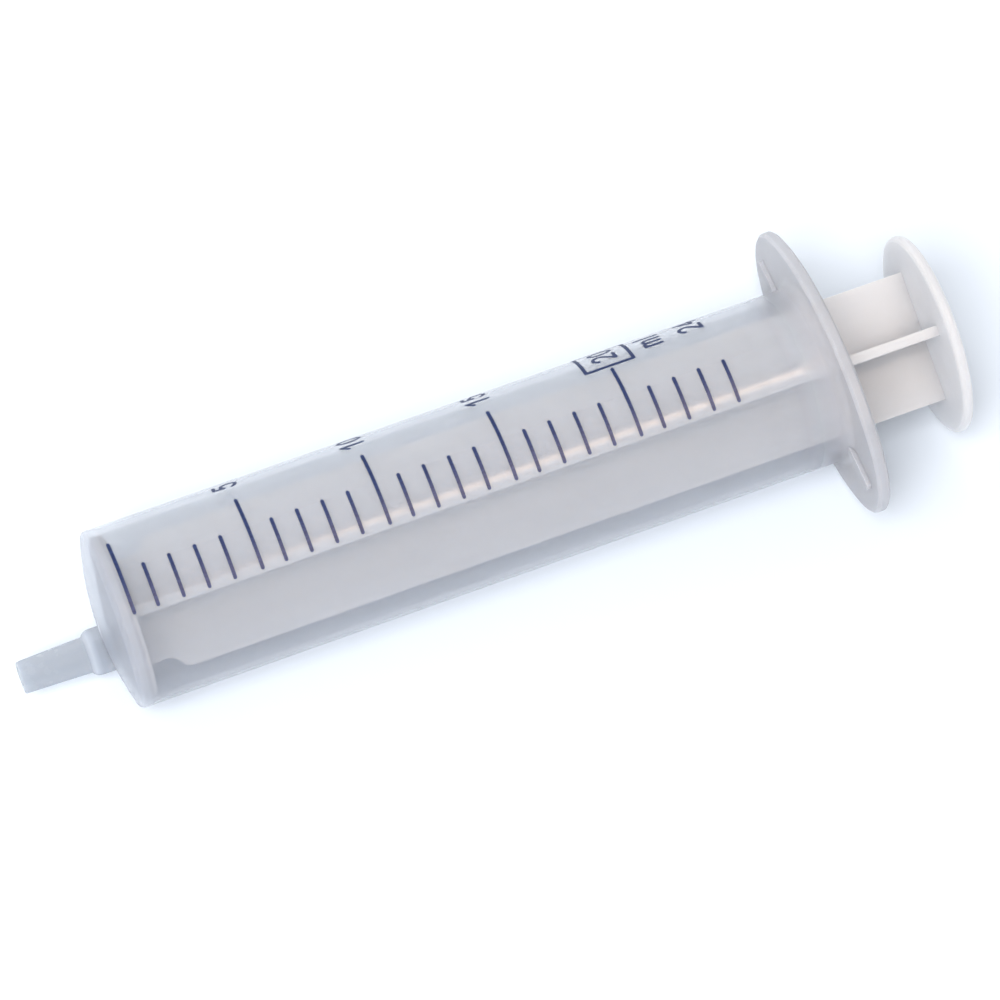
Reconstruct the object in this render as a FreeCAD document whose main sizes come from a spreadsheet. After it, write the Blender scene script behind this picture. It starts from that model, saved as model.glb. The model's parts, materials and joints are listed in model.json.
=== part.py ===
import FreeCAD, Part
import math
import os

import Sketcher

# A two-piece disposable syringe, 20 ml, lying as it rests on a table.
# Both pieces are drawn along their own X axis: X = 0 is the zero line of the scale, the nozzle points
# to -X and the thumb disc to +X. Z is up, away from the side that the syringe lies on, and Y runs along
# the two finger wings. Sizes are in millimetres, angles in degrees.
doc = FreeCAD.newDocument("syringe")

# Edges are found by place and size to within this
NEAR = 1e-4

# Driving dimensions, each with the words that say what it is
DIMENSIONS = [
    ("bore_dia", 20.05, "bore of the barrel, 1 ml for each 3.167 mm"),
    ("barrel_wall", 1.0, "wall of the barrel"),
    ("front_wall", 0.95, "wall of the domed front"),
    ("dome_reach", 3.5, "zero line to the crown of the domed front"),
    ("dome_r", 37.0, "outer radius of the domed front"),
    ("front_edge_r", 0.7, "round between the front and the barrel"),
    ("blind_rise", 1.42, "rise of the bore's conical blind end"),
    ("bore_corner", 0.3, "bevel at the blind end of the bore"),
    ("nozzle_offset", 6.3, "axis of the nozzle below the axis of the barrel"),
    ("nozzle_reach", 10.3, "crown of the domed front to the nozzle's end"),
    ("nozzle_tip_dia", 3.98, "small end of the nozzle"),
    ("nozzle_taper", 0.06, "growth of the nozzle's diameter over its length"),
    ("nozzle_cone", 8.3, "length of the nozzle's cone"),
    ("nozzle_tip_edge", 0.12, "broken edge at the nozzle's end"),
    ("nozzle_bore", 2.1, "channel through the nozzle"),
    ("collar_dia", 5.75, "collar at the nozzle's root"),
    ("collar_round", 1.4, "round of the collar's shoulder"),
    ("flange_station", 88.4, "zero line to the front of the finger flange"),
    ("flange_thickness", 1.55, "plate of the finger flange"),
    ("flange_half_span", 19.3, "axis to the end of a finger wing"),
    ("flange_side", 1.775, "barrel to the long side of the flange"),
    ("wing_end_r", 9.4, "round of a wing's end"),
    ("flange_edge", 0.35, "broken edges of the flange"),
    ("flange_land", 0.225, "flat between the flange's root fillet and its broken edge"),
    ("rib_width", 1.5, "grip rib on a finger wing"),
    ("rib_height", 0.55, "grip rib above the wing"),
    ("rib_margin", 2.6, "end of the grip rib to the end of its wing"),
    ("retainer_station", 80.0, "zero line to the ring that keeps the plunger in"),
    ("retainer_height", 0.25, "ring above the bore"),
    ("retainer_width", 1.3, "length of the ring along the bore"),
    ("retainer_slope", 0.35, "run of the ring's sides"),
    ("mouth_lead", 0.5, "lead-in at the open end of the bore"),
    ("seal_clearance", 0.03, "sealing lips to the bore, all round"),
    ("seat_gap", 0.1, "front of the piston to the blind end, pushed home"),
    ("piston_rear", 0.4, "zero line to the back of the piston"),
    ("lip_land", 0.4, "length of each sealing lip"),
    ("lip_relief", 0.4, "groove between the lips"),
    ("lip_slope", 0.12, "run of the groove's sides"),
    ("lip_lead", 0.35, "run of the cone in front of the first lip"),
    ("lip_lead_depth", 0.6, "depth of the cone in front of the first lip"),
    ("fin_half_width", 8.15, "axis to the edge of a fin"),
    ("fin_thickness", 1.25, "plate of a fin"),
    ("fin_roll", 27.0, "turn of the fins about the axis"),
    ("fin_root", 0.25, "fin ends sunk into what they join"),
    ("neck_half_width", 6.4, "axis to the edge of a fin at its neck"),
    ("neck_length", 2.4, "neck behind the piston"),
    ("neck_flare", 3.2, "run of the curve from neck to fin"),
    ("thumb_station", 102.4, "zero line to the front of the thumb disc"),
    ("thumb_dia", 25.0, "thumb disc"),
    ("thumb_thickness", 1.35, "plate of the thumb disc"),
    ("thumb_edge", 0.5, "edge of the thumb disc, softened in two steps"),
    ("thumb_step", 0.15, "shallow side of each step"),
    ("ring_height", 0.3, "grip rings above the thumb disc"),
    ("ring_width", 0.9, "width of a grip ring"),
    ("ring_inner_r", 5.5, "middle of the inner grip ring"),
    ("ring_outer_r", 9.5, "middle of the outer grip ring"),
]

# Sizes that follow from the driving ones
WORKED = [
    ("bore_r", "Dims.bore_dia / 2"),
    ("barrel_r", "bore_r + Dims.barrel_wall"),
    ("dome_centre", "Dims.dome_r - Dims.dome_reach"),
    ("outer_corner", "dome_centre - sqrt(Dims.dome_r ^ 2 - barrel_r ^ 2)"),
    ("edge_ring_r", "barrel_r - Dims.front_edge_r"),
    ("edge_ring", "dome_centre - sqrt((Dims.dome_r - Dims.front_edge_r) ^ 2 - edge_ring_r ^ 2)"),
    ("edge_share", "Dims.dome_r / (Dims.dome_r - Dims.front_edge_r)"),
    ("inner_crown", "Dims.front_wall - Dims.dome_reach"),
    ("blind_slope", "Dims.blind_rise / bore_r"),
    ("nozzle_end", "0 - Dims.dome_reach - Dims.nozzle_reach"),
    ("nozzle_tip_r", "Dims.nozzle_tip_dia / 2"),
    ("cone_end", "nozzle_end + Dims.nozzle_cone"),
    ("cone_root_r", "nozzle_tip_r + Dims.nozzle_cone * Dims.nozzle_taper / 2"),
    ("cone_edge_r", "nozzle_tip_r + Dims.nozzle_tip_edge * Dims.nozzle_taper / 2"),
    ("collar_r", "Dims.collar_dia / 2"),
    ("shoulder_rise", "collar_r - cone_root_r"),
    ("shoulder_run", "sqrt(Dims.collar_round ^ 2 - (Dims.collar_round - shoulder_rise) ^ 2)"),
    ("flange_rear", "Dims.flange_station + Dims.flange_thickness"),
    ("flange_root_r", "Dims.flange_side - Dims.flange_edge - Dims.flange_land"),
    ("half_depth", "barrel_r + Dims.flange_side"),
    ("wing_centre", "Dims.flange_half_span - Dims.wing_end_r"),
    ("side_r", "(wing_centre ^ 2 + half_depth ^ 2 - Dims.wing_end_r ^ 2)"
               " / (2 * (half_depth - Dims.wing_end_r))"),
    ("side_centre", "side_r - half_depth"),
    ("wing_turn_y", "wing_centre + Dims.wing_end_r * wing_centre / (side_r - Dims.wing_end_r)"),
    ("wing_turn_z", "Dims.wing_end_r * side_centre / (side_r - Dims.wing_end_r)"),
    ("rib_end", "Dims.flange_half_span - Dims.rib_margin"),
    ("wall_middle_r", "bore_r + Dims.barrel_wall / 2"),
    ("retainer_front", "Dims.retainer_station - Dims.retainer_width / 2"),
    ("retainer_back", "Dims.retainer_station + Dims.retainer_width / 2"),
    ("retainer_r", "bore_r - Dims.retainer_height"),
    ("lip_r", "bore_r - Dims.seal_clearance"),
    ("relief_r", "lip_r - Dims.lip_relief"),
    ("piston_crown", "inner_crown + Dims.seat_gap"),
    ("piston_edge_r", "lip_r - Dims.lip_lead_depth"),
    ("piston_edge", "piston_crown + piston_edge_r * blind_slope"),
    ("front_lip", "piston_edge + Dims.lip_lead"),
    ("front_lip_end", "front_lip + Dims.lip_land"),
    ("rear_lip", "Dims.piston_rear - Dims.lip_land"),
    ("relief_start", "front_lip_end + Dims.lip_slope"),
    ("relief_end", "rear_lip - Dims.lip_slope"),
    ("fin_start", "Dims.piston_rear - Dims.fin_root"),
    ("neck_end", "Dims.piston_rear + Dims.neck_length"),
    ("flare_middle", "neck_end + Dims.neck_flare / 2"),
    ("flare_end", "neck_end + Dims.neck_flare"),
    ("flare_half_width", "(Dims.neck_half_width + Dims.fin_half_width) / 2"),
    ("flare_rise", "Dims.fin_half_width - Dims.neck_half_width"),
    ("flare_r", "(Dims.neck_flare ^ 2 + flare_rise ^ 2) / (4 * flare_rise)"),
    ("fin_end", "Dims.thumb_station + Dims.fin_root"),
    ("thumb_r", "Dims.thumb_dia / 2"),
    ("thumb_rear", "Dims.thumb_station + Dims.thumb_thickness"),
    ("ring_top", "thumb_rear + Dims.ring_height"),
    ("ring_base", "thumb_rear - Dims.fin_root"),
]

# The syringe rests on the front edge of its barrel and on one long side of its flange, a few
# millimetres further from the axis, so its nozzle end hangs a little lower than its thumb disc.
RESTING = [
    ("rest_run", "Dims.flange_station + Dims.flange_edge - edge_ring"),
    ("rest_rise", "half_depth - edge_ring_r"),
    ("rest_step", "Dims.front_edge_r / sqrt(rest_run ^ 2 + rest_rise ^ 2)"),
    ("rest_tilt", "atan2(rest_rise; rest_run) - asin(rest_step)"),
    ("rest_z", "Dims.front_edge_r + edge_ring_r * cos(rest_tilt) - edge_ring * sin(rest_tilt)"),
    ("low_x", "nozzle_end * cos(rest_tilt)"
              " + (Dims.nozzle_offset - nozzle_tip_r + Dims.nozzle_tip_edge) * sin(rest_tilt)"),
    ("rim_x", "thumb_rear * cos(rest_tilt) + (thumb_r - Dims.thumb_edge) * sin(rest_tilt)"),
    ("ring_x", "ring_top * cos(rest_tilt)"
               " + (Dims.ring_outer_r + Dims.ring_width / 2) * sin(rest_tilt)"),
    ("rest_x", "0 - (low_x + max(rim_x; ring_x)) / 2"),
]


def make_sheets():
    """Puts the driving dimensions in one sheet and what follows from them in another."""
    dims = doc.addObject("Spreadsheet::Sheet", "Dims")
    for row, (alias, number, words) in enumerate(DIMENSIONS, start=1):
        dims.set(f"A{row}", words)
        dims.set(f"B{row}", str(number))
        dims.setAlias(f"B{row}", alias)
    doc.recompute()
    worked = doc.addObject("Spreadsheet::Sheet", "Worked")
    for row, (alias, formula) in enumerate(WORKED + RESTING, start=1):
        worked.set(f"A{row}", alias)
        worked.set(f"B{row}", "=" + formula)
        worked.setAlias(f"B{row}", alias)
        doc.recompute()
    return worked


worked_sheet = make_sheets()


def value(expression):
    """The number that an expression on the sheets gives."""
    result = worked_sheet.evalExpression(expression)
    return float(getattr(result, "Value", result))


def new_body(name):
    """A piece in its place: tilted about Y and lifted as it rests on the table."""
    body = doc.addObject("PartDesign::Body", name)
    body.Label = name
    body.Placement = FreeCAD.Placement(FreeCAD.Vector(), FreeCAD.Rotation(FreeCAD.Vector(0, -1, 0), 1))
    body.setExpression("Placement.Rotation.Angle", "Worked.rest_tilt")
    body.setExpression("Placement.Base.x", "Worked.rest_x")
    body.setExpression("Placement.Base.z", "Worked.rest_z")
    return body


def new_sketch(body, role, name, shift=None, roll=None):
    """An empty sketch in one of the body's own planes, moved or rolled by named sizes."""
    sketch = body.newObject("Sketcher::SketchObject", name)
    plane = next(item for item in body.Origin.OriginFeatures if item.Role == role)
    sketch.AttachmentSupport = [(plane, "")]
    sketch.MapMode = "FlatFace"
    if shift:
        sketch.setExpression("AttachmentOffset.Base." + shift[0], shift[1])
    if roll:
        about_x = FreeCAD.Rotation(FreeCAD.Vector(1, 0, 0), 1)
        sketch.AttachmentOffset = FreeCAD.Placement(FreeCAD.Vector(), about_x)
        sketch.setExpression("AttachmentOffset.Rotation.Angle", roll)
    return sketch


def pin_point(sketch, shape, end, x, y):
    """Fixes one end of a line or arc at two named distances from the sketch's origin."""
    for kind, axis, distance in (("DistanceX", -2, x), ("DistanceY", -1, y)):
        if distance == "0":
            sketch.addConstraint(Sketcher.Constraint("PointOnObject", shape, end, axis))
        else:
            index = sketch.addConstraint(Sketcher.Constraint(kind, -1, 1, shape, end, value(distance)))
            sketch.setExpression(f"Constraints[{index}]", distance)


def arc_between(start, end, radius, side):
    """The shorter arc from start to end, its centre to the left (side 1) or right (side -1)."""
    chord = end - start
    across = FreeCAD.Vector(-chord.y, chord.x, 0).normalize()
    middle = (start + end) * 0.5
    centre = middle + across * side * math.sqrt(max(radius ** 2 - (chord.Length / 2) ** 2, 0))
    first, last = (start, end) if side > 0 else (end, start)
    angles = [math.atan2(point.y - centre.y, point.x - centre.x) for point in (first, last)]
    if angles[1] < angles[0]:
        angles[1] += 2 * math.pi
    return Part.ArcOfCircle(Part.Circle(centre, FreeCAD.Vector(0, 0, 1), radius), *angles)


def draw_outline(sketch, corners):
    """Draws a closed outline. A corner is (x, y), or (x, y, radius, side) where an arc leads to the next."""
    points = [FreeCAD.Vector(value(corner[0]), value(corner[1]), 0) for corner in corners]
    ends = []
    for number, corner in enumerate(corners):
        start, end = points[number], points[(number + 1) % len(points)]
        if len(corner) == 2:
            shape = sketch.addGeometry(Part.LineSegment(start, end))
            ends.append((shape, 1, 2))
            continue
        radius, side = corner[2], corner[3]
        shape = sketch.addGeometry(arc_between(start, end, value(radius), side))
        index = sketch.addConstraint(Sketcher.Constraint("Radius", shape, value(radius)))
        sketch.setExpression(f"Constraints[{index}]", radius)
        ends.append((shape, 1, 2) if side > 0 else (shape, 2, 1))
    for number, corner in enumerate(corners):
        shape, first, last = ends[number]
        following, following_first, _ = ends[(number + 1) % len(ends)]
        sketch.addConstraint(Sketcher.Constraint("Coincident", shape, last, following, following_first))
        pin_point(sketch, shape, first, corner[0], corner[1])
    return sketch


def turn(body, kind, name, sketch):
    """Turns a sketch a full circle about its own horizontal axis, to add or to cut."""
    feature = body.newObject("PartDesign::" + kind, name)
    feature.Profile = sketch
    feature.ReferenceAxis = (sketch, ["H_Axis"])
    feature.Angle = 360
    sketch.Visibility = False
    return feature


def pad(body, name, sketch, length, symmetric=False, backwards=False):
    """Raises a sketch by a named length, to one side or to both."""
    feature = body.newObject("PartDesign::Pad", name)
    feature.Profile = sketch
    feature.setExpression("Length", length)
    if symmetric:
        feature.SideType = "Symmetric"
    feature.Reversed = backwards
    sketch.Visibility = False
    return feature


def dress_edges(body, kind, name, base, size, wanted):
    """Rounds (Fillet) or breaks (Chamfer) the edges of the latest shape that the test accepts."""
    doc.recompute()
    edges = [f"Edge{n}" for n, edge in enumerate(base.Shape.Edges, start=1) if wanted(edge)]
    if not edges:
        raise RuntimeError(name + " finds no edge")
    feature = body.newObject("PartDesign::" + kind, name)
    feature.Base = (base, edges)
    feature.setExpression("Radius" if kind == "Fillet" else "Size", size)
    return feature


def is_circle(edge, radius, station):
    """True for a circle about the barrel's axis, of this radius and at this station."""
    if edge.Degenerated or not isinstance(edge.Curve, Part.Circle):
        return False
    centre = edge.Curve.Center
    return (abs(edge.Curve.Radius - value(radius)) < NEAR and abs(centre.x - value(station)) < NEAR
            and math.hypot(centre.y, centre.z) < NEAR)


def make_barrel():
    """Barrel, domed front, eccentric nozzle and finger flange, moulded in one piece."""
    body = new_body("barrel")
    outside = new_sketch(body, "XZ_Plane", "barrel_outline")
    draw_outline(outside, [
        ("0 - Dims.dome_reach", "0", "Dims.dome_r", -1),
        ("Worked.dome_centre + (Worked.edge_ring - Worked.dome_centre) * Worked.edge_share",
         "Worked.edge_ring_r * Worked.edge_share", "Dims.front_edge_r", -1),
        ("Worked.edge_ring", "Worked.barrel_r"),
        ("Worked.flange_rear", "Worked.barrel_r"),
        ("Worked.flange_rear", "0"),
    ])
    turn(body, "Revolution", "barrel_blank", outside)
    add_flange(body)
    add_nozzle(body)
    cut_bore(body)
    return body


def add_flange(body):
    """Oval finger flange: four arcs in a ring, broken edges and a grip rib on each wing."""
    oval = new_sketch(body, "YZ_Plane", "flange_outline", shift=("z", "Dims.flange_station"))
    right, top = "Worked.wing_turn_y", "Worked.wing_turn_z"
    left, bottom = "0 - Worked.wing_turn_y", "0 - Worked.wing_turn_z"
    draw_outline(oval, [
        (right, bottom, "Dims.wing_end_r", 1),
        (right, top, "Worked.side_r", 1),
        (left, top, "Dims.wing_end_r", 1),
        (left, bottom, "Worked.side_r", 1),
    ])
    plate = pad(body, "flange_plate", oval, "Dims.flange_thickness")
    root = dress_edges(body, "Fillet", "flange_root", plate, "Worked.flange_root_r",
                       lambda item: is_circle(item, "Worked.barrel_r", "Dims.flange_station"))

    def on_the_rim(item):
        """True for the flange's outer edges, front and rear."""
        faces = (value("Dims.flange_station"), value("Worked.flange_rear"))
        box = item.BoundBox
        flat = any(abs(box.XMin - face) < NEAR and abs(box.XMax - face) < NEAR for face in faces)
        middle = item.valueAt((item.FirstParameter + item.LastParameter) / 2)
        limit = (value("Worked.barrel_r") + value("Worked.half_depth")) / 2
        return flat and math.hypot(middle.y, middle.z) > limit

    dress_edges(body, "Chamfer", "flange_rim", root, "Dims.flange_edge", on_the_rim)
    ribs = new_sketch(body, "YZ_Plane", "rib_outline", shift=("z", "Dims.flange_station"))
    near_end, far_end, half = "Worked.wall_middle_r", "Worked.rib_end", "Dims.rib_width / 2"
    for sign in ("", "0 - "):
        draw_outline(ribs, [
            (sign + near_end, "0 - " + half),
            (sign + far_end, "0 - " + half, "Dims.rib_width", 1 if sign == "" else -1),
            (sign + far_end, half),
            (sign + near_end, half),
        ])
    pad(body, "grip_ribs", ribs, "Dims.rib_height", backwards=True)


def add_nozzle(body):
    """Tapered slip nozzle on a rounded collar, set off the barrel's axis."""
    outline = new_sketch(body, "XZ_Plane", "nozzle_outline", shift=("y", "0 - Dims.nozzle_offset"))
    draw_outline(outline, [
        ("Worked.nozzle_end", "0"),
        ("Worked.nozzle_end", "Worked.nozzle_tip_r - Dims.nozzle_tip_edge"),
        ("Worked.nozzle_end + Dims.nozzle_tip_edge", "Worked.cone_edge_r"),
        ("Worked.cone_end", "Worked.cone_root_r", "Dims.collar_round", -1),
        ("Worked.cone_end + Worked.shoulder_run", "Worked.collar_r"),
        ("Worked.outer_corner", "Worked.collar_r"),
        ("Worked.outer_corner", "0"),
    ])
    turn(body, "Revolution", "nozzle", outline)


def cut_bore(body):
    """Bore with its conical blind end, the ring that keeps the plunger in, and the nozzle's channel."""
    outline = new_sketch(body, "XZ_Plane", "bore_outline")
    draw_outline(outline, [
        ("Worked.inner_crown", "0"),
        ("Worked.inner_crown + (Worked.bore_r - Dims.bore_corner) * Worked.blind_slope",
         "Worked.bore_r - Dims.bore_corner"),
        ("Worked.inner_crown + Dims.blind_rise + Dims.bore_corner", "Worked.bore_r"),
        ("Worked.retainer_front", "Worked.bore_r"),
        ("Worked.retainer_front + Dims.retainer_slope", "Worked.retainer_r"),
        ("Worked.retainer_back - Dims.retainer_slope", "Worked.retainer_r"),
        ("Worked.retainer_back", "Worked.bore_r"),
        ("Worked.flange_rear - Dims.mouth_lead", "Worked.bore_r"),
        ("Worked.flange_rear", "Worked.bore_r + Dims.mouth_lead"),
        ("Worked.flange_rear + Dims.mouth_lead", "Worked.bore_r + Dims.mouth_lead"),
        ("Worked.flange_rear + Dims.mouth_lead", "0"),
    ])
    turn(body, "Groove", "bore", outline)
    channel = new_sketch(body, "XZ_Plane", "channel_outline", shift=("y", "0 - Dims.nozzle_offset"))
    draw_outline(channel, [
        ("Worked.nozzle_end - Dims.nozzle_tip_edge", "0"),
        ("Worked.nozzle_end - Dims.nozzle_tip_edge", "Dims.nozzle_bore / 2"),
        ("0", "Dims.nozzle_bore / 2"),
        ("0", "0"),
    ])
    turn(body, "Groove", "nozzle_channel", channel)


def make_plunger():
    """Piston with two sealing lips, crossed fins and thumb disc, moulded in one piece."""
    body = new_body("plunger")
    head = new_sketch(body, "XZ_Plane", "piston_outline")
    draw_outline(head, [
        ("Worked.piston_crown", "0"),
        ("Worked.piston_edge", "Worked.piston_edge_r"),
        ("Worked.front_lip", "Worked.lip_r"),
        ("Worked.front_lip_end", "Worked.lip_r"),
        ("Worked.relief_start", "Worked.relief_r"),
        ("Worked.relief_end", "Worked.relief_r"),
        ("Worked.rear_lip", "Worked.lip_r"),
        ("Dims.piston_rear", "Worked.lip_r"),
        ("Dims.piston_rear", "0"),
    ])
    turn(body, "Revolution", "piston", head)
    add_fins(body)
    add_thumb_disc(body)
    return body


def add_fins(body):
    """Two plates that cross on the axis, narrow behind the piston and flared by an S-curve."""
    for role, name in (("XY_Plane", "first_fins"), ("XZ_Plane", "second_fins")):
        sketch = new_sketch(body, role, name + "_outline", roll="Dims.fin_roll")
        neck, wide, between = "Dims.neck_half_width", "Dims.fin_half_width", "Worked.flare_half_width"
        draw_outline(sketch, [
            ("Worked.fin_start", "0 - " + neck),
            ("Worked.neck_end", "0 - " + neck, "Worked.flare_r", -1),
            ("Worked.flare_middle", "0 - " + between, "Worked.flare_r", 1),
            ("Worked.flare_end", "0 - " + wide),
            ("Worked.fin_end", "0 - " + wide),
            ("Worked.fin_end", wide),
            ("Worked.flare_end", wide, "Worked.flare_r", 1),
            ("Worked.flare_middle", between, "Worked.flare_r", -1),
            ("Worked.neck_end", neck),
            ("Worked.fin_start", neck),
        ])
        pad(body, name, sketch, "Dims.fin_thickness", symmetric=True)


def add_thumb_disc(body):
    """Round thumb disc with a softened rim and two low grip rings on its back."""
    plate = new_sketch(body, "XZ_Plane", "thumb_outline")
    front, back = "Dims.thumb_station", "Worked.thumb_rear"
    rim, edge, step = "Worked.thumb_r", "Dims.thumb_edge", "Dims.thumb_step"
    draw_outline(plate, [
        (front, "0"),
        (front, f"{rim} - {edge}"),
        (f"{front} + {step}", f"{rim} - {step}"),
        (f"{front} + {edge}", rim),
        (f"{back} - {edge}", rim),
        (f"{back} - {step}", f"{rim} - {step}"),
        (back, f"{rim} - {edge}"),
        (back, "0"),
    ])
    turn(body, "Revolution", "thumb_disc", plate)
    for number, middle in enumerate(("Dims.ring_inner_r", "Dims.ring_outer_r"), start=1):
        ring = new_sketch(body, "XZ_Plane", f"grip_ring_{number}_outline")
        inner = middle + " - Dims.ring_width / 2"
        outer = middle + " + Dims.ring_width / 2"
        draw_outline(ring, [
            ("Worked.ring_base", inner),
            ("Worked.ring_top - Dims.ring_height / 2", inner),
            ("Worked.ring_top", inner + " + Dims.ring_height / 2"),
            ("Worked.ring_top", outer + " - Dims.ring_height / 2"),
            ("Worked.ring_top - Dims.ring_height / 2", outer),
            ("Worked.ring_base", outer),
        ])
        turn(body, "Revolution", f"grip_ring_{number}", ring)


def export(pieces):
    """Checks every object of the document and each piece, then writes one STEP file a piece."""
    doc.recompute()
    for item in doc.Objects:
        if "Invalid" in item.State or "Error" in item.State:
            raise RuntimeError(item.Name + " did not build")
    os.makedirs("parts", exist_ok=True)
    for piece in pieces:
        shape = piece.Shape
        if shape.isNull() or not shape.isValid() or len(shape.Solids) != 1:
            raise RuntimeError(piece.Label + " is not one valid solid")
        shape.exportStep(f"parts/{piece.Label}.step")
        print(piece.Label, round(shape.Volume, 1), "mm3", shape.BoundBox)


export([make_barrel(), make_plunger()])
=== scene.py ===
import json
import math

import bmesh
import bpy
from mathutils import Matrix, Vector
from mathutils.geometry import delaunay_2d_cdt


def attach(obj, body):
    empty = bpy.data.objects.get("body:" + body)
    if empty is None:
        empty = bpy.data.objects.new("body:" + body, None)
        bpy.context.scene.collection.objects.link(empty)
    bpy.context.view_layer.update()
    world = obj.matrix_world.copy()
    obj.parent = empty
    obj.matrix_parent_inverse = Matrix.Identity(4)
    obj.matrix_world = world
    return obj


# A disposable syringe on a pale floor. Lengths along and around the barrel are in millimetres, counted
# from the zero line of its scale; everything in Blender is in metres.
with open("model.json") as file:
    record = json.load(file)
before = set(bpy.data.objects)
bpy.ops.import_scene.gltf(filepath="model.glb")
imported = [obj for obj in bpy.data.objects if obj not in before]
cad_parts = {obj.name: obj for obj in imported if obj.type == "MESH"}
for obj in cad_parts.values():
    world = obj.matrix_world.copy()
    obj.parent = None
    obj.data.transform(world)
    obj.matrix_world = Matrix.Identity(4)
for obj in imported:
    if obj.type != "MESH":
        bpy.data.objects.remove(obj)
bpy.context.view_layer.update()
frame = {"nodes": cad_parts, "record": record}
scene = bpy.context.scene
MM = 0.001

record = frame["record"]
barrel_mount = next(mount for mount in record["mounts"] if mount["name"] == "barrel_outside")
AXIS = Vector(record["behaviour"]["joints"][0]["axis"]).normalized()
WING = Vector((0, 1, 0))
UP = AXIS.cross(WING)
MOUNT_STATION = 43.0
ZERO = Vector(barrel_mount["pos_m"]) - AXIS * MOUNT_STATION * MM
BARREL_R = barrel_mount["dims"]["r_mm"]

# Stations of the barrel: past its nozzle's end, its front, the front of its flange, past its flange
BEFORE_NOZZLE = -14.0
FRONT_STATION = -1.5
FLANGE_STATION = 88.4
BEHIND_FLANGE = 92.0


def beside(along, angle, away):
    """A point at a station (mm), at an angle from the top towards +Y, away from the axis (mm)."""
    return ZERO + (AXIS * along + (UP * math.cos(angle) + WING * math.sin(angle)) * away) * MM


# Camera, as in the photograph: the place of the zero line's centre in front of it (right, down, away),
# the turn of the syringe in the image, its lean away from the camera and its roll about its own axis
FOCAL_PIXELS = 4915.0
FRAME_PIXELS = 1000.0
SENSOR_WIDTH = 36.0
CLIP_NEAR, CLIP_FAR = 0.01, 20
ZERO_SEEN = (-44.2, 13.65, 580.0)
IMAGE_TURN = math.radians(19.37)
LEAN_AWAY = math.radians(9.0)
ROLL = math.radians(27.0)


def place_camera():
    """Puts the camera where the syringe shows at the photograph's angle."""
    ct, st = math.cos(LEAN_AWAY), math.sin(LEAN_AWAY)
    ca, sa = math.cos(IMAGE_TURN), math.sin(IMAGE_TURN)
    seen = Matrix((
        (ct * ca, st * ca, -sa),
        (-ct * sa, -st * sa, -ca),
        (st, -ct, 0),
    ))
    toward = UP * math.cos(ROLL) - WING * math.sin(ROLL)
    above = UP * math.sin(ROLL) + WING * math.cos(ROLL)
    held = Matrix((AXIS, toward, above)).transposed()
    turn = held @ seen.inverted()
    spot = ZERO - turn @ Vector(ZERO_SEEN) * MM
    right, down, away = (turn.col[index] for index in range(3))
    basis = Matrix((right, -down, -away)).transposed().to_4x4()
    data = bpy.data.cameras.new("camera")
    data.sensor_width = SENSOR_WIDTH
    data.lens = FOCAL_PIXELS * SENSOR_WIDTH / FRAME_PIXELS
    data.clip_start, data.clip_end = CLIP_NEAR, CLIP_FAR
    camera = bpy.data.objects.new("camera", data)
    camera.matrix_world = Matrix.Translation(spot) @ basis
    scene.collection.objects.link(camera)
    scene.camera = camera


place_camera()


# Materials

def new_material(name):
    """A node material with its nodes, its links and its shader."""
    material = bpy.data.materials.new(name)
    material.use_nodes = True
    nodes = material.node_tree.nodes
    return material, nodes, material.node_tree.links, nodes["Principled BSDF"]


# Where on a noise's range the darker tone ends and the lighter one begins
NOISE_LOW, NOISE_HIGH = 0.35, 0.65


def add_noise(nodes, links, scale, detail, stretch=(1, 1, 1)):
    """Noise in the object's own space, stretched along its axes."""
    place = nodes.new("ShaderNodeTexCoord")
    mapping = nodes.new("ShaderNodeMapping")
    mapping.inputs["Scale"].default_value = stretch
    noise = nodes.new("ShaderNodeTexNoise")
    noise.inputs["Scale"].default_value = scale
    noise.inputs["Detail"].default_value = detail
    links.new(place.outputs["Object"], mapping.inputs["Vector"])
    links.new(mapping.outputs["Vector"], noise.inputs["Vector"])
    return noise.outputs["Fac"]


def shade_between(nodes, links, factor, dark, light):
    """A colour that wanders between two tones with the noise."""
    ramp = nodes.new("ShaderNodeValToRGB")
    for point, position, tone in zip(ramp.color_ramp.elements, (NOISE_LOW, NOISE_HIGH), (dark, light)):
        point.position = position
        point.color = (*tone, 1)
    links.new(factor, ramp.inputs["Fac"])
    return ramp.outputs["Color"]


def spread(nodes, links, factor, low, high):
    """Maps a noise to a range of numbers."""
    span = nodes.new("ShaderNodeMapRange")
    span.inputs["To Min"].default_value = low
    span.inputs["To Max"].default_value = high
    links.new(factor, span.inputs["Value"])
    return span.outputs["Result"]


def along_barrel(nodes, links, stops):
    """A grey or a colour that follows the barrel, nozzle to flange, from (station, value) stops."""
    place = nodes.new("ShaderNodeTexCoord")
    split = nodes.new("ShaderNodeSeparateXYZ")
    links.new(place.outputs["Object"], split.inputs["Vector"])
    first, last = stops[0][0], stops[-1][0]
    span = nodes.new("ShaderNodeMapRange")
    span.inputs["From Min"].default_value = (ZERO + AXIS * first * MM).x
    span.inputs["From Max"].default_value = (ZERO + AXIS * last * MM).x
    links.new(split.outputs["X"], span.inputs["Value"])
    ramp = nodes.new("ShaderNodeValToRGB")
    points = ramp.color_ramp.elements
    while len(points) < len(stops):
        points.new(0.5)
    for point, (station, value) in zip(points, stops):
        point.position = (station - first) / (last - first)
        point.color = (*value, 1) if isinstance(value, tuple) else (value, value, value, 1)
    links.new(span.outputs["Result"], ramp.inputs["Fac"])
    return ramp.outputs["Color"]


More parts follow.
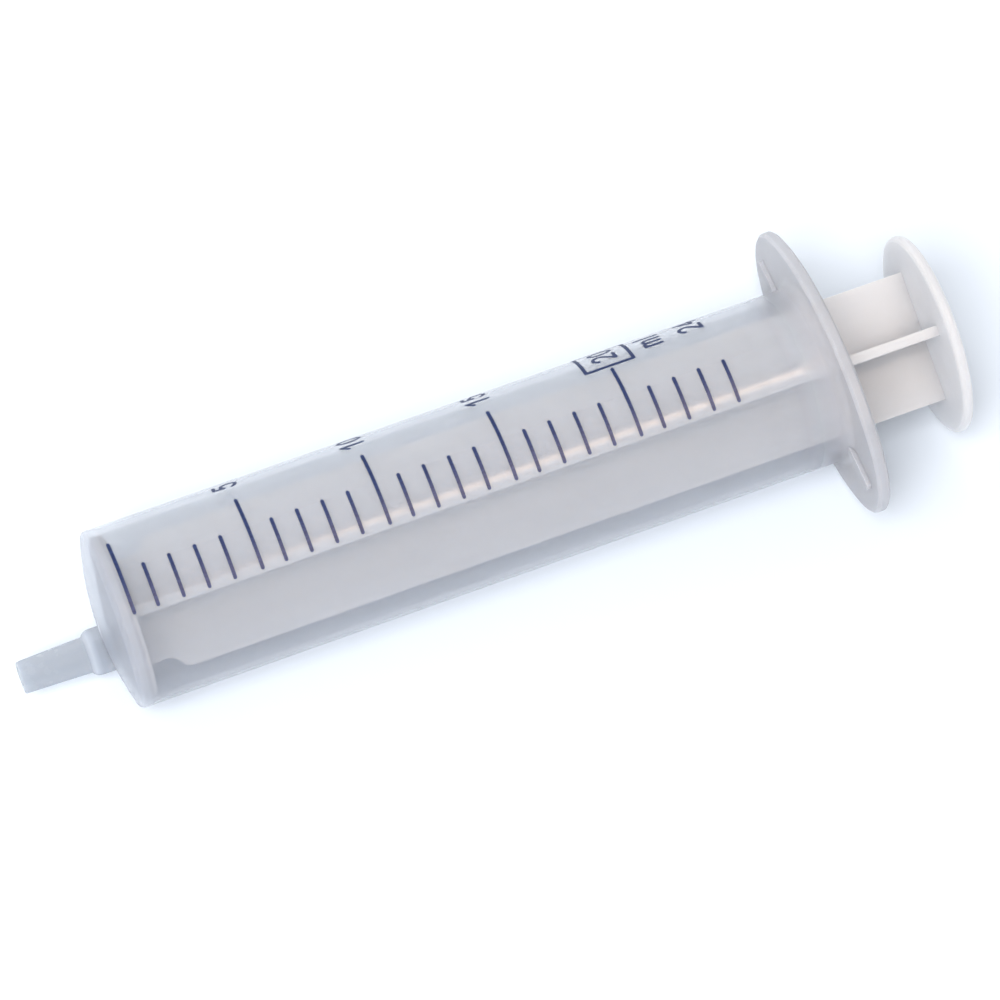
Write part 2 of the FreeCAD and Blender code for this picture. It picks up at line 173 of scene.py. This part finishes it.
def add_bump(nodes, links, shader, height, strength, distance):
    """Fine relief of the surface."""
    bump = nodes.new("ShaderNodeBump")
    bump.inputs["Strength"].default_value = strength
    bump.inputs["Distance"].default_value = distance
    links.new(height, bump.inputs["Height"])
    links.new(bump.outputs["Normal"], shader.inputs["Normal"])


# Moulded plastic: how much finer its clouds are across the barrel than along it, how far its roughness
# wanders down and up, its relief, and how far light of each colour spreads in it
CLOUD_SCALE = 60
CLOUD_STRETCH = (1, 3, 3)
ROUGHER, SMOOTHER = 0.06, 0.04
GRAIN_STRENGTH = 0.06
GRAIN_DEPTH = 0.04
PLASTIC_IOR = 1.49
GLOW_RADIUS = (0.9, 1.0, 1.1)


def milky_plastic(name, dark, light, rough, grain, depth):
    """Natural moulded plastic: cloudy tone, soft gloss, fine grain, light that spreads to a depth (mm)."""
    material, nodes, links, shader = new_material(name)
    cloud = add_noise(nodes, links, CLOUD_SCALE, detail=2.0, stretch=CLOUD_STRETCH)
    fine = add_noise(nodes, links, grain, detail=4.0)
    links.new(shade_between(nodes, links, cloud, dark, light), shader.inputs["Base Color"])
    links.new(spread(nodes, links, fine, rough - SMOOTHER, rough + ROUGHER), shader.inputs["Roughness"])
    add_bump(nodes, links, shader, fine, GRAIN_STRENGTH, GRAIN_DEPTH * MM)
    shader.inputs["IOR"].default_value = PLASTIC_IOR
    shader.inputs["Subsurface Weight"].default_value = 1.0
    shader.inputs["Subsurface Radius"].default_value = GLOW_RADIUS
    shader.inputs["Subsurface Scale"].default_value = depth * MM
    return material, nodes, links, shader


# The barrel along its length: added roughness, share of light that its cloudy wall stops, and a tone with
# painted light and shade in it
BARREL_MATT = [
    (BEFORE_NOZZLE, 0.1), (FRONT_STATION, 0.05), (0, 0), (84, 0), (86, 0.25), (BEHIND_FLANGE, 0.25)]
BARREL_CLOUD = [
    (BEFORE_NOZZLE, 0.75), (-4.5, 0.65), (FRONT_STATION, 0.4), (-0.7, 0.35), (-0.2, 0.24),
    (83, 0.24), (86, 0.42), (FLANGE_STATION, 0.62), (BEHIND_FLANGE, 0.62)]
# Bluish tone along the barrel with painted light and shade: a painted highlight as a bright band at the
# collar's edge, painted shade as a darker dome behind it, and a flange a little darker and less blue
BARREL_TONE_AND_PAINTED_LIGHT = [
    (BEFORE_NOZZLE, (0.43, 0.46, 0.51)), (-5.6, (0.43, 0.46, 0.51)), (-5.0, (0.54, 0.58, 0.65)),
    (-4.2, (0.40, 0.435, 0.495)), (FRONT_STATION, (0.48, 0.50, 0.555)), (84, (0.495, 0.51, 0.555)),
    (FLANGE_STATION, (0.50, 0.495, 0.52)), (BEHIND_FLANGE, (0.48, 0.475, 0.50))]
# The shine of the see-through wall, kept low so that its edges don't melt into the pale floor
BARREL_IOR = 1.3
# The plunger is satin
PLUNGER_SHINE = 0.15

INK_DARK, INK_LIGHT = (0.007, 0.018, 0.075), (0.014, 0.030, 0.11)
INK_GRAIN = 2500
INK_ROUGHNESS = 0.5


def barrel_plastic():
    """See-through milky plastic, cloudier and more matt at the nozzle, the front and the flange, its tone
    painted lighter at the collar's edge and darker at the dome for light and shade.
    """
    material, nodes, links, shader = milky_plastic(
        "milky_clear_barrel", (0.96, 0.96, 0.96), (1.0, 1.0, 1.0), rough=0.17, grain=900, depth=2.0)
    rough = nodes.new("ShaderNodeMath")
    links.new(shader.inputs["Roughness"].links[0].from_socket, rough.inputs[0])
    links.new(along_barrel(nodes, links, BARREL_MATT), rough.inputs[1])
    links.new(rough.outputs["Value"], shader.inputs["Roughness"])
    links.new(along_barrel(nodes, links, BARREL_CLOUD), shader.inputs["Alpha"])
    shader.inputs["IOR"].default_value = BARREL_IOR
    # The cloudy colour is multiplied by the tone along the barrel, which holds the painted highlight and
    # painted shade
    tone_with_painted_light = nodes.new("ShaderNodeMix")
    tone_with_painted_light.data_type = "RGBA"
    tone_with_painted_light.blend_type = "MULTIPLY"
    tone_with_painted_light.inputs["Factor"].default_value = 1.0
    first, second = (socket for socket in tone_with_painted_light.inputs if socket.type == "RGBA")
    links.new(shader.inputs["Base Color"].links[0].from_socket, first)
    links.new(along_barrel(nodes, links, BARREL_TONE_AND_PAINTED_LIGHT), second)
    result = next(socket for socket in tone_with_painted_light.outputs if socket.type == "RGBA")
    links.new(result, shader.inputs["Base Color"])
    return material


def plunger_plastic():
    """Satin milky plastic that glows through its thin fins."""
    material, _, _, shader = milky_plastic(
        "milky_plunger", (0.48, 0.466, 0.471), (0.504, 0.49, 0.495), rough=0.34, grain=1400, depth=9.0)
    shader.inputs["Specular IOR Level"].default_value = PLUNGER_SHINE
    return material


def print_ink():
    """Dark blue printing ink, a little uneven."""
    material, nodes, links, shader = new_material("blue_print")
    uneven = add_noise(nodes, links, INK_GRAIN, detail=3.0)
    links.new(shade_between(nodes, links, uneven, INK_DARK, INK_LIGHT), shader.inputs["Base Color"])
    shader.inputs["Roughness"].default_value = INK_ROUGHNESS
    return material


for node, material in (("barrel", barrel_plastic()), ("plunger", plunger_plastic())):
    for held in frame["nodes"][node].material_slots:
        held.material = material
ink = print_ink()


# Printed scale: its angles are counted from the top towards +Y. The film lies a hair above the barrel,
# is bent round it in steps, and is drawn with a pen of one width
ML = 3.167
PRINT_LIFT = 0.006
PRINT_FILM = 0.02
PRINT_STEP = 0.35
PEN_WIDTH = 0.45
PEN_ROUNDS = 6
SCALE_START = math.radians(-28.4)
LONG_END = math.radians(24.2)
SHORT_END = math.radians(1.0)
LONG_SHIFT = 0.24
LONG_EVERY = 5
VOLUMES = 25
NUMBERS_MIDDLE = math.radians(44.7)


def wrap_print(name, mesh):
    """Cuts a flat print across the curve, gives it its film's thickness and lays it on the barrel."""
    shape = bmesh.new()
    shape.from_mesh(mesh)
    low = min(vertex.co.y for vertex in shape.verts)
    high = max(vertex.co.y for vertex in shape.verts)
    for number in range(1, int((high - low) / PRINT_STEP) + 1):
        everything = shape.verts[:] + shape.edges[:] + shape.faces[:]
        bmesh.ops.bisect_plane(shape, geom=everything, dist=1e-6,
                               plane_co=(0, low + number * PRINT_STEP, 0), plane_no=(0, 1, 0))
    grown = bmesh.ops.extrude_face_region(shape, geom=shape.faces[:])["geom"]
    for vertex in (item for item in grown if isinstance(item, bmesh.types.BMVert)):
        vertex.co.z += PRINT_FILM
    for vertex in shape.verts:
        lift = BARREL_R + vertex.co.z + PRINT_LIFT
        vertex.co = beside(vertex.co.x, vertex.co.y / BARREL_R, lift)
    bmesh.ops.recalc_face_normals(shape, faces=shape.faces[:])
    shape.to_mesh(mesh)
    shape.free()
    mesh.materials.append(ink)
    piece = bpy.data.objects.new(name, mesh)
    scene.collection.objects.link(piece)
    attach(piece, "barrel")


def stroke(start, end):
    """The outline of a straight pen stroke with round ends."""
    along = (end - start).normalized() if (end - start).length else Vector((1, 0))
    heading = math.atan2(along.y, along.x)
    outline = []
    for middle, turned in ((end, -math.pi / 2), (start, math.pi / 2)):
        for number in range(PEN_ROUNDS + 1):
            angle = heading + turned + math.pi * number / PEN_ROUNDS
            outline.append(middle + Vector((math.cos(angle), math.sin(angle))) * PEN_WIDTH / 2)
    return outline


def print_strokes(name, runs):
    """Prints runs of pen strokes, given as points (along, around) in millimetres, as one mark."""
    points, faces = [], []
    for run in runs:
        for start, end in zip(run, run[1:]):
            outline = stroke(Vector(start), Vector(end))
            faces.append(list(range(len(points), len(points) + len(outline))))
            points += outline
    places, _, cells, _, _, sources = delaunay_2d_cdt(points, [], faces, 1, 1e-5)
    mesh = bpy.data.meshes.new(name)
    mesh.from_pydata([(x, y, 0) for x, y in places], [],
                     [cell for cell, source in zip(cells, sources) if source])
    wrap_print(name, mesh)


for number in range(VOLUMES):
    is_long = number % LONG_EVERY == 0
    station = number * ML + (LONG_SHIFT if is_long else 0)
    start, end = SCALE_START * BARREL_R, (LONG_END if is_long else SHORT_END) * BARREL_R
    print_strokes(f"scale_line_{number:02d}",
                  [[(station, start + PEN_WIDTH / 2), (station, end - PEN_WIDTH / 2)]])


def oval(x, y, wide, high, first, last):
    """Points along part of an oval, from one angle in degrees to another."""
    steps = max(4, int(abs(last - first) / 20))
    angles = [math.radians(first + (last - first) * number / steps) for number in range(steps + 1)]
    return [(x + wide * math.cos(angle), y + high * math.sin(angle)) for angle in angles]


# Characters as pen runs, in digit widths and digit heights
DIGIT_WIDE = 1.5
DIGIT_HIGH = 2.7
DIGIT_PITCH = 2.25
GLYPHS = {
    "0": [oval(0.5, 0.5, 0.5, 0.5, 0, 360)],
    "1": [[(0.1, 0.7), (0.62, 1.0), (0.62, 0.0)]],
    "2": [oval(0.5, 0.72, 0.48, 0.28, 165, -30) + [(0.0, 0.0), (1.0, 0.0)]],
    "4": [[(0.74, 0.0), (0.74, 1.0), (0.0, 0.28), (1.0, 0.28)]],
    "5": [[(0.9, 1.0), (0.16, 1.0), (0.08, 0.54)] + oval(0.48, 0.34, 0.5, 0.34, 140, -150)],
    "m": [[(-0.2, 0.76), (-0.2, 0.0)],
          oval(0.12, 0.5, 0.32, 0.26, 180, 0) + [(0.44, 0.0)],
          oval(0.76, 0.5, 0.32, 0.26, 180, 0) + [(1.08, 0.0)]],
    "l": [[(0.3, 1.0), (0.3, 0.0)]],
}


def print_text(name, text, along):
    """Characters that read away from the camera, their tops to the nozzle, centred on a station."""
    runs = []
    left = NUMBERS_MIDDLE * BARREL_R - (DIGIT_PITCH * (len(text) - 1) + DIGIT_WIDE) / 2
    for number, letter in enumerate(text):
        edge = left + number * DIGIT_PITCH
        for run in GLYPHS[letter]:
            runs.append([(along + DIGIT_HIGH * (0.5 - y), edge + x * DIGIT_WIDE) for x, y in run])
    print_strokes(name, runs)


# Where each text stands on the scale, and how far off that line it is printed
TEXTS = [
    ("5", 5, -0.1), ("10", 10, -0.1), ("15", 15, -0.1), ("20", 20, 0.2), ("ml", 22, -0.3), ("24", 23.5, 0.2)]
for text, volume, shift in TEXTS:
    print_text("scale_text_" + text, text, volume * ML + shift)

# The frame round the number 20
FRAMED_VOLUME = 20
FRAME_HALF_ALONG = 3.05
FRAME_HALF_AROUND = 3.4
middle_along, middle_around = FRAMED_VOLUME * ML + LONG_SHIFT, NUMBERS_MIDDLE * BARREL_R
corners = [(middle_along + x * FRAME_HALF_ALONG, middle_around + y * FRAME_HALF_AROUND)
           for x, y in ((-1, -1), (1, -1), (1, 1), (-1, 1), (-1, -1))]
print_strokes("scale_frame_20", [corners])


# Floor and light

# Half the floor's side in metres, and how far it lies below what rests on it, in millimetres
FLOOR_REACH = 4.0
FLOOR_DROP = 0.05
FLOOR_DARK, FLOOR_LIGHT = (0.71, 0.76, 0.83), (0.73, 0.78, 0.85)
FLOOR_CLOUDS = 3
FLOOR_ROUGHNESS = 0.9
WORLD_STRENGTH = 0.55


def make_floor():
    """A plain pale floor, larger than the view, a hair below what rests on it."""
    material, nodes, links, shader = new_material("pale_floor")
    soft = add_noise(nodes, links, FLOOR_CLOUDS, detail=2.0)
    links.new(shade_between(nodes, links, soft, FLOOR_DARK, FLOOR_LIGHT), shader.inputs["Base Color"])
    shader.inputs["Roughness"].default_value = FLOOR_ROUGHNESS
    shader.inputs["Specular IOR Level"].default_value = 0.0
    mesh = bpy.data.meshes.new("floor")
    mesh.from_pydata([(x * FLOOR_REACH, y * FLOOR_REACH, 0) for x, y in ((-1, -1), (1, -1), (1, 1), (-1, 1))],
                     [], [(0, 1, 2, 3)])
    mesh.materials.append(material)
    floor = bpy.data.objects.new("floor", mesh)
    floor.location.z = -FLOOR_DROP * MM
    scene.collection.objects.link(floor)


def make_world():
    """Even white light from all round."""
    world = bpy.data.worlds.new("studio")
    world.use_nodes = True
    background = world.node_tree.nodes["Background"]
    background.inputs["Color"].default_value = (1, 1, 1, 1)
    background.inputs["Strength"].default_value = WORLD_STRENGTH
    scene.world = world


def soft_light(name, spot, target, size, power, colour=(1, 1, 1), gloss=False):
    """A rectangular light that faces a point, long side along the syringe. It only lights or only shines."""
    data = bpy.data.lights.new(name, "AREA")
    data.shape = "RECTANGLE"
    data.size, data.size_y = size
    data.energy = power
    data.color = colour
    back = (spot - target).normalized()
    side = (AXIS - back * AXIS.dot(back)).normalized()
    facing = Matrix((side, back.cross(side), back)).transposed().to_4x4()
    light = bpy.data.objects.new(name, data)
    light.matrix_world = Matrix.Translation(spot) @ facing
    light.visible_camera = False
    light.visible_glossy = gloss
    light.visible_diffuse = not gloss
    light.visible_transmission = not gloss
    scene.collection.objects.link(light)


make_floor()
make_world()
scene.view_settings.view_transform = "Standard"

BARREL_MIDDLE = beside(MOUNT_STATION, 0, 0)
soft_light("key", beside(-350, math.radians(-26), 1150), BARREL_MIDDLE, (0.7, 0.7), 17.5)
soft_light("top", beside(-150, math.radians(50), 1150), BARREL_MIDDLE, (1.2, 0.8), 5.0)
# A small warm lamp near the camera draws the thin bright line along the barrel
soft_light("lamp", beside(189, math.radians(-18.2), 600), beside(95, 0, 0), (0.2, 0.03), 3.0,
           (1, 0.76, 0.58), gloss=True)
